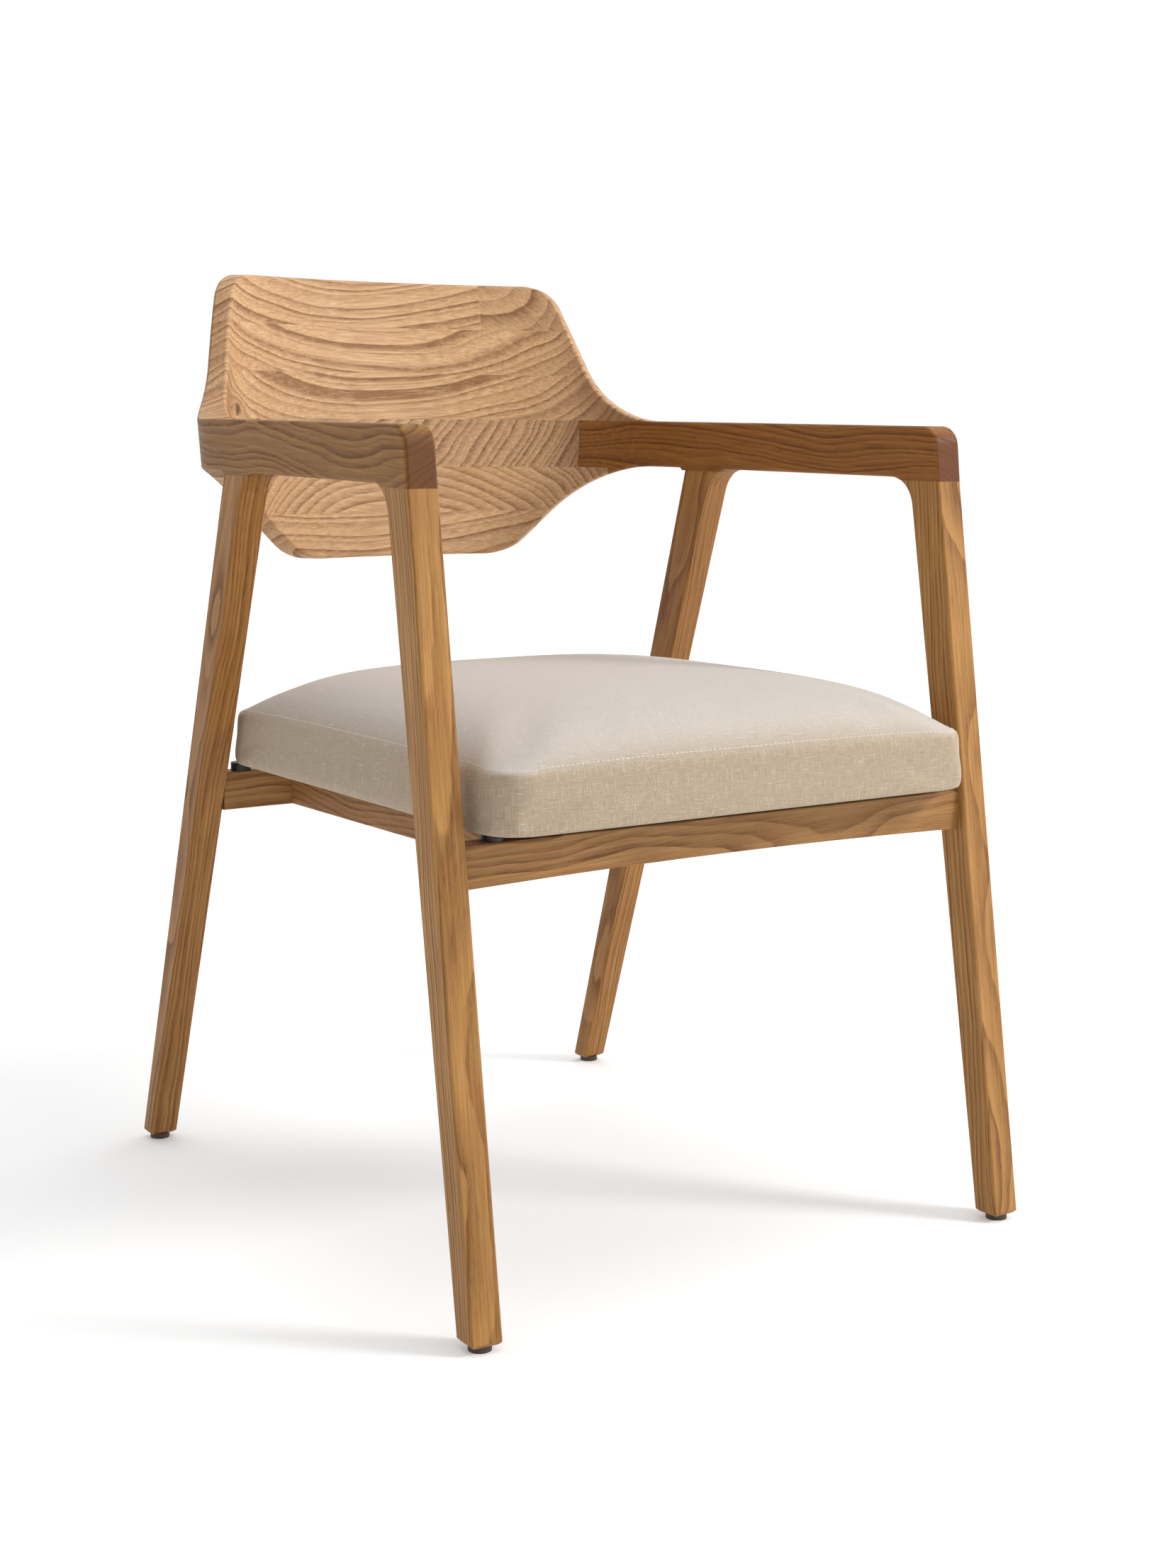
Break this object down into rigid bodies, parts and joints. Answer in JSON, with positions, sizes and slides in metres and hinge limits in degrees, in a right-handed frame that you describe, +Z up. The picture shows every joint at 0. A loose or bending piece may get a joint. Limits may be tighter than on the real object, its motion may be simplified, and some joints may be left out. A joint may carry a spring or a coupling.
{
  "type": "open wooden armchair",
  "caption": "Open wooden armchair with a curved laminated back flowing into flat arms, raked tapered legs, low rails and a domed fabric seat cushion.",
  "frame": {"origin": "on the floor, at the middle of the chair's width and depth", "axes": "+Z up, the chair faces -Y, X runs across the chair and X 0 is its plane of symmetry"},
  "size_m": [0.544, 0.6422, 0.811],
  "materials": {
    "frame_wood": "oiled satin",
    "dowel_wood": "raw",
    "panel_wood": "raw plywood",
    "seat_fabric": "woven, matte",
    "screw_steel": "zinc plated",
    "spacer_plastic": "matte black",
    "glide_plastic": "matte dark brown"
  },
  "bodies": {
    "root": {"arm_left": "frame_wood", "arm_right": "frame_wood", "back_row_1_left": "frame_wood", "back_row_1_right": "frame_wood", "back_row_2": "frame_wood", "back_row_3": "frame_wood", "back_row_4": "frame_wood", "back_row_5": "frame_wood", "back_row_6": "frame_wood", "leg_front_left": "frame_wood", "leg_front_right": "frame_wood", "leg_rear_left": "frame_wood", "leg_rear_right": "frame_wood", "rail_front": "frame_wood", "rail_rear": "frame_wood", "rail_side_left": "frame_wood", "rail_side_right": "frame_wood", "leg_top_dowels": "dowel_wood", "front_rail_dowels": "dowel_wood", "rear_rail_dowels": "dowel_wood", "side_rail_dowels": "dowel_wood", "mitre_dowels": "dowel_wood", "seat_cushion": "seat_fabric", "seat_panel": "panel_wood", "seat_screws": "screw_steel", "spacer_front_left": "spacer_plastic", "spacer_front_right": "spacer_plastic", "spacer_rear_left": "spacer_plastic", "spacer_rear_right": "spacer_plastic", "glide_front_left": "glide_plastic", "glide_front_right": "glide_plastic", "glide_rear_left": "glide_plastic", "glide_rear_right": "glide_plastic"}
  },
  "joints": []
}
